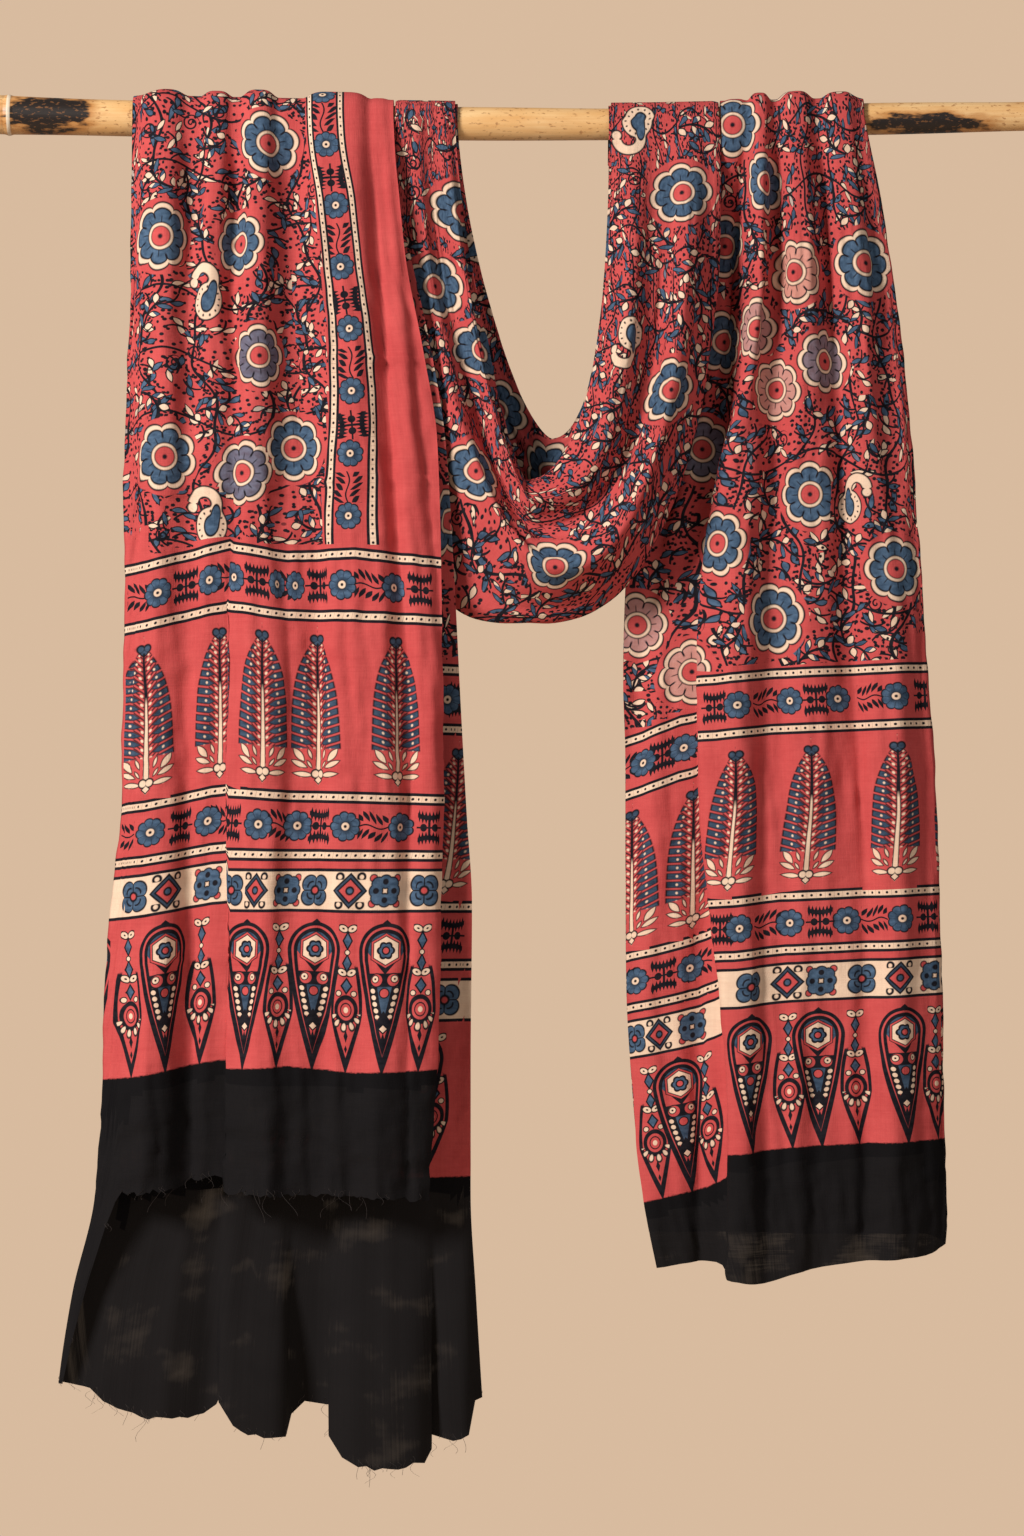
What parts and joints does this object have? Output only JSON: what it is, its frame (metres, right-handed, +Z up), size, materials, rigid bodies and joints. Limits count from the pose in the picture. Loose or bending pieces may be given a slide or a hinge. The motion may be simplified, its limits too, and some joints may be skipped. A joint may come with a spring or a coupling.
{
  "type": "ajrakh cloth draped over a bamboo pole",
  "caption": "Block-printed ajrakh cloth hung over a horizontal bamboo pole in a long folded tail, a swag and a shorter pleated tail.",
  "frame": {"origin": "centre of the pole's left end face, seen from the front", "axes": "+X along the pole to the right, +Z up, -Y towards the side that the tails hang on"},
  "size_m": [0.9, 0.1007, 1.0338],
  "materials": {
    "cloth": "matte plain weave, madder red with indigo, cream and black block print and dyed black ends",
    "bamboo": "pale satin bamboo skin with scorched bands"
  },
  "bodies": {
    "root": {"cloth": "cloth", "pole": "bamboo"}
  },
  "joints": []
}
